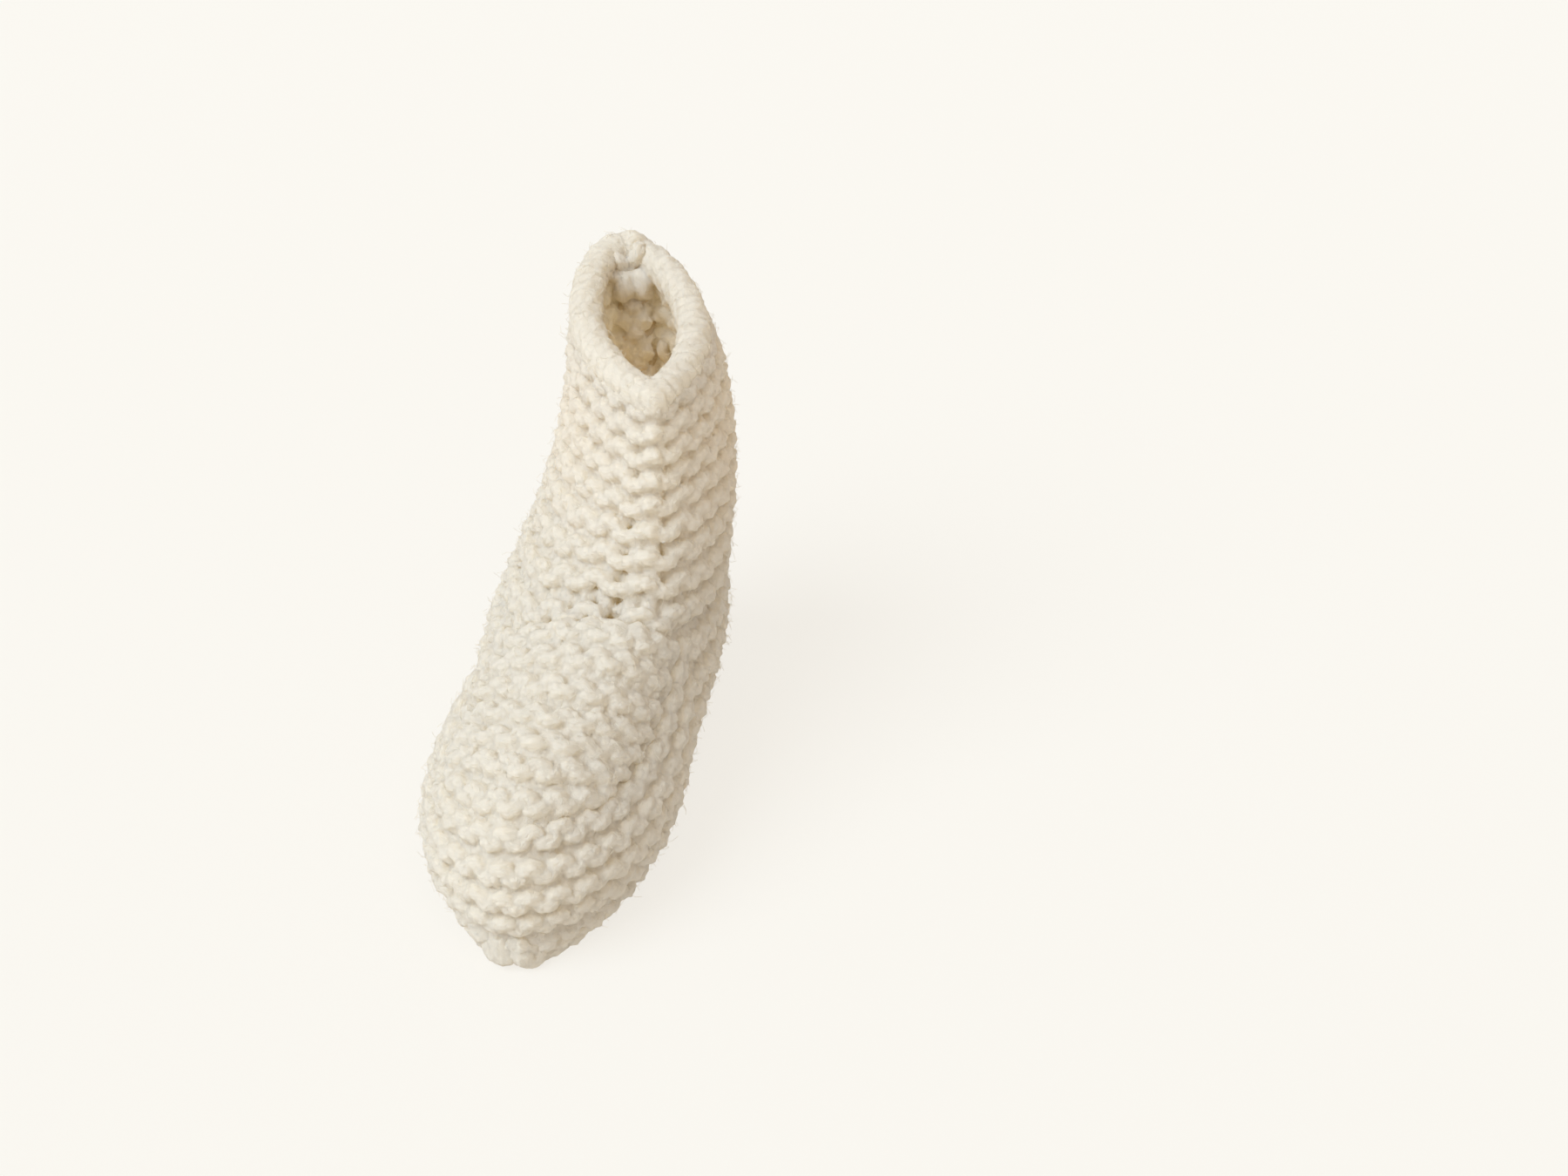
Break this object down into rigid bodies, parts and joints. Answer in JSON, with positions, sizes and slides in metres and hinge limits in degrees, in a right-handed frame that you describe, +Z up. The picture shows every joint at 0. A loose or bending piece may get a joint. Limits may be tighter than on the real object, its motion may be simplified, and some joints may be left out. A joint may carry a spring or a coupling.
{
  "type": "baby bootie",
  "caption": "Soft slip-on baby bootie hand-knitted in chunky cream garter stitch, with an open leg, a rounded toe and a flat sewn sole.",
  "frame": {"origin": "middle of the bounding box in plan, at the height of the surface the sole rests on", "axes": "+X towards the toe, +Y towards the wearer's left, +Z up the leg"},
  "size_m": [0.1176, 0.0484, 0.0869],
  "materials": {
    "knitted_wool": "matte, softly fuzzy",
    "sewing_wool": "matte, softly fuzzy"
  },
  "bodies": {
    "root": {"cast_on_edge": "knitted_wool", "leg_panel": "knitted_wool", "instep_flap": "knitted_wool", "foot_band": "knitted_wool", "sole_right": "knitted_wool", "sole_left": "knitted_wool", "back_seam": "sewing_wool", "sole_seam": "sewing_wool", "cast_on_tail": "sewing_wool", "sewing_tail": "sewing_wool"}
  },
  "joints": []
}
